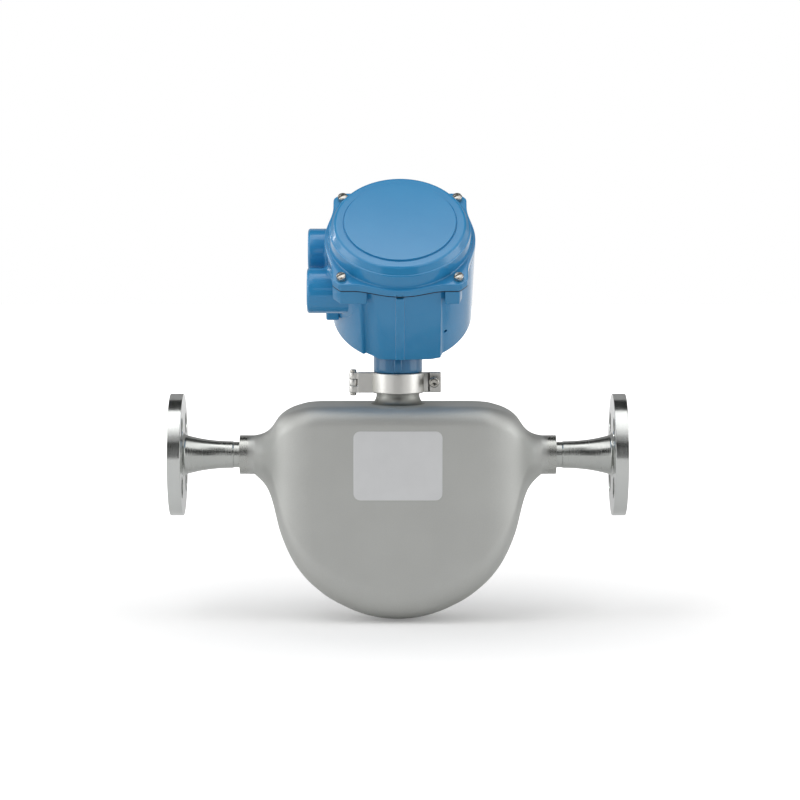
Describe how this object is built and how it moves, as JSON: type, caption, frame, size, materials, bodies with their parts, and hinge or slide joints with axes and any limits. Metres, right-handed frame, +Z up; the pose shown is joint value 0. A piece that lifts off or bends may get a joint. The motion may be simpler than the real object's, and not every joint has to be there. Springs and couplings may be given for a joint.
{
  "type": "coriolis flow meter",
  "caption": "Inline twin-tube flow meter with weld-neck flanges, a deep rounded steel case and a tilted blue electronics head on a clamped swivel neck.",
  "frame": {"origin": "centre of the inlet flange raised face, on the flow axis", "axes": "+X along the flow towards the outlet flange, +Z up towards the electronics head, -Y towards the front with the plate and the leaning cover"},
  "size_m": [0.3346, 0.1334, 0.3202],
  "materials": {
    "flange_steel": "turned stainless steel",
    "manifold_steel": "machined stainless steel",
    "case_steel": "bead-blasted stainless steel",
    "label_plate": "brushed plate, left bare",
    "stub_steel": "machined stainless steel",
    "tube_steel": "drawn stainless steel",
    "coil_winding": "enamelled winding",
    "magnet_iron": "plated magnet",
    "contact_brass": "plated brass",
    "potting": "potting compound",
    "cable_jacket": "cable jacket",
    "seal_rubber": "moulded seal",
    "clamp_steel": "satin stainless steel",
    "screw_steel": "bright stainless steel",
    "head_paint": "blue polyurethane paint on cast aluminium",
    "board": "solder-masked board",
    "terminal_plastic": "moulded terminal body",
    "ground_green": "green-passivated screw"
  },
  "bodies": {
    "sensor": {"inlet_flange": "flange_steel", "outlet_flange": "flange_steel", "inlet_hub": "flange_steel", "outlet_hub": "flange_steel", "inlet_manifold": "manifold_steel", "outlet_manifold": "manifold_steel", "case_front_shell": "case_steel", "case_rear_shell": "case_steel", "case_label": "label_plate", "neck_stub": "stub_steel", "flow_tube_front": "tube_steel", "flow_tube_rear": "tube_steel", "inlet_brace_bar": "tube_steel", "outlet_brace_bar": "tube_steel", "manifold_spacer": "manifold_steel", "drive_coil": "coil_winding", "drive_magnet": "magnet_iron", "drive_brackets": "tube_steel", "inlet_pickoff_coil": "coil_winding", "inlet_pickoff_magnet": "magnet_iron", "outlet_pickoff_coil": "coil_winding", "outlet_pickoff_magnet": "magnet_iron", "pickoff_brackets": "tube_steel", "temperature_sensor": "contact_brass", "feedthrough": "potting", "feedthrough_pins": "contact_brass", "sensor_cable": "cable_jacket", "neck_seal": "seal_rubber", "clamp_rear_half": "clamp_steel", "clamp_hinge_pin": "screw_steel"},
    "clamp_front": {"clamp_front_half": "clamp_steel"},
    "clamp_screw": {"clamp_screw": "screw_steel"},
    "head": {"head_housing": "head_paint", "head_neck": "head_paint", "cover_gasket": "seal_rubber", "electronics_module": "potting", "terminal_board": "board", "power_terminals": "terminal_plastic", "signal_terminals": "terminal_plastic", "terminal_screws": "contact_brass", "module_screws": "screw_steel", "ground_screw": "ground_green"},
    "cover": {"head_cover": "head_paint", "cover_screws": "screw_steel"}
  },
  "joints": [
    {"name": "head_swivel", "type": "hinge", "parent": "sensor", "child": "head", "pos_m": [0.1673, 0, 0.06], "axis": [0, 0, 1], "range_deg": [-180, 180]},
    {"name": "cover_lift", "type": "slide", "parent": "head", "child": "cover", "axis": [0, -0.6547, 0.7559], "range_m": [0, 0.06]},
    {"name": "clamp_open", "type": "hinge", "parent": "sensor", "child": "clamp_front", "pos_m": [0.1348, 0, 0.053], "axis": [0, 0, -1], "range_deg": [0, 100]},
    {"name": "clamp_screw_out", "type": "slide", "parent": "clamp_front", "child": "clamp_screw", "axis": [0, -1, 0], "range_m": [0, 0.012]}
  ]
}
